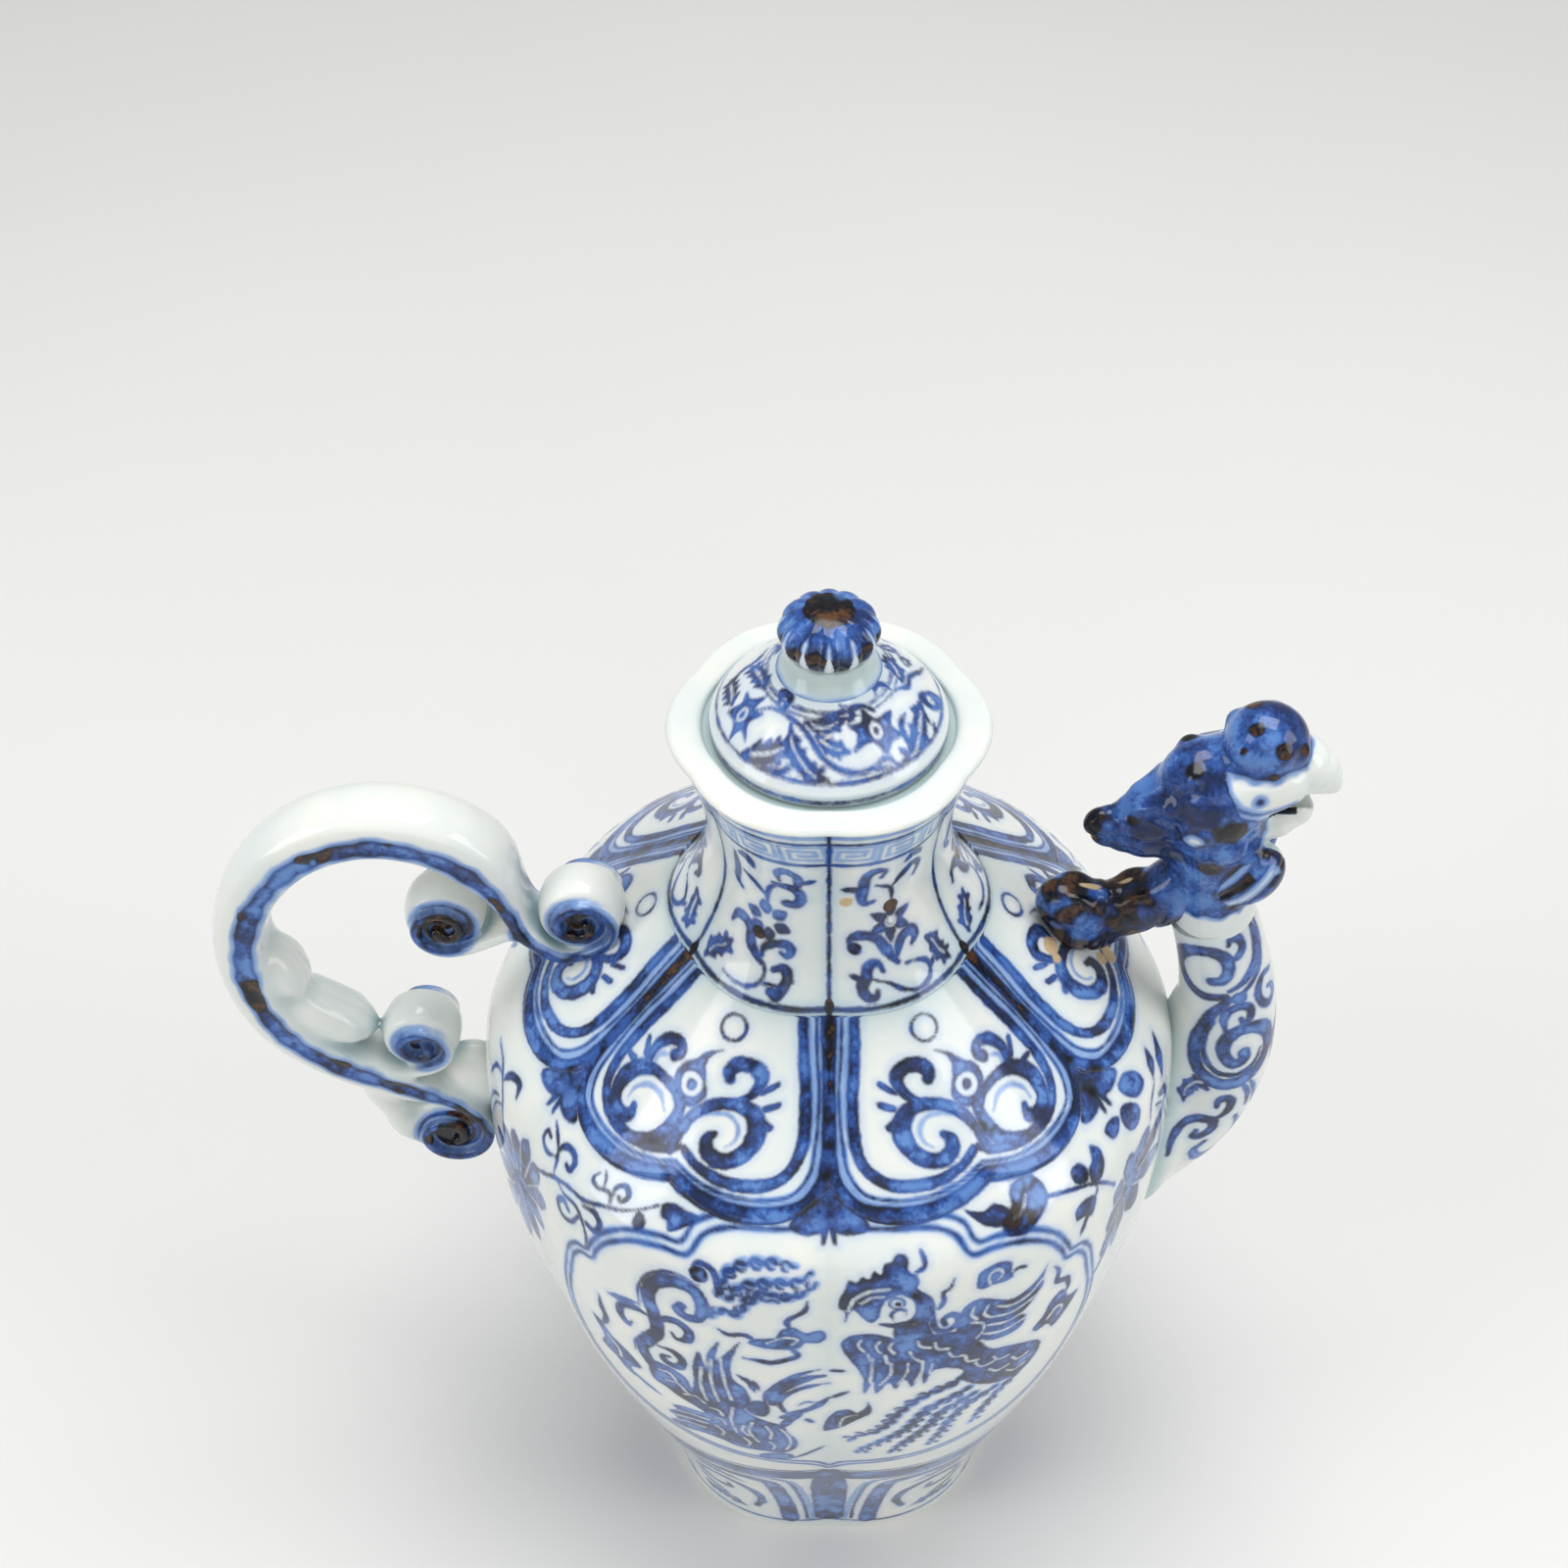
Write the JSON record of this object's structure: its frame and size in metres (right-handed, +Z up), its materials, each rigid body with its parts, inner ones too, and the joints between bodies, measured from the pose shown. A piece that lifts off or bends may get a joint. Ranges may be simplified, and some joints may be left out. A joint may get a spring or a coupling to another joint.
{
  "type": "phoenix-head ewer",
  "caption": "Lobed blue-and-white porcelain wine ewer with a phoenix-head spout, a scrolled strap handle, a foliate neck and a domed lid with a petalled knob.",
  "frame": {"origin": "centre of the flat base, on the body's axis, in the plane it stands on", "axes": "+Z up along the body's axis, +X towards the spout, -X towards the handle, -Y the side shown in the picture"},
  "size_m": [0.2273, 0.1436, 0.2584],
  "materials": {
    "white_glaze": "glossy clear glaze over white porcelain painted in cobalt blue",
    "cobalt_glaze": "glossy clear glaze over a full cobalt wash",
    "iron_cobalt_glaze": "glossy glaze over a heavy dark cobalt wash",
    "bare_clay": "matt unglazed porcelain"
  },
  "bodies": {
    "ewer": {"base_slab": "bare_clay", "body_lower": "white_glaze", "body_upper": "white_glaze", "neck": "white_glaze", "spout": "white_glaze", "phoenix_head": "cobalt_glaze", "cloud_strut": "iron_cobalt_glaze", "handle_strap": "white_glaze", "handle_roll_upper": "white_glaze", "handle_roll_lower": "white_glaze"},
    "lid": {"lid_dome": "white_glaze", "lid_flange": "bare_clay", "lid_knob": "cobalt_glaze"}
  },
  "joints": [
    {"name": "lid_lift", "type": "slide", "parent": "ewer", "child": "lid", "axis": [0, 0, 1], "range_m": [0, 0.06]}
  ]
}
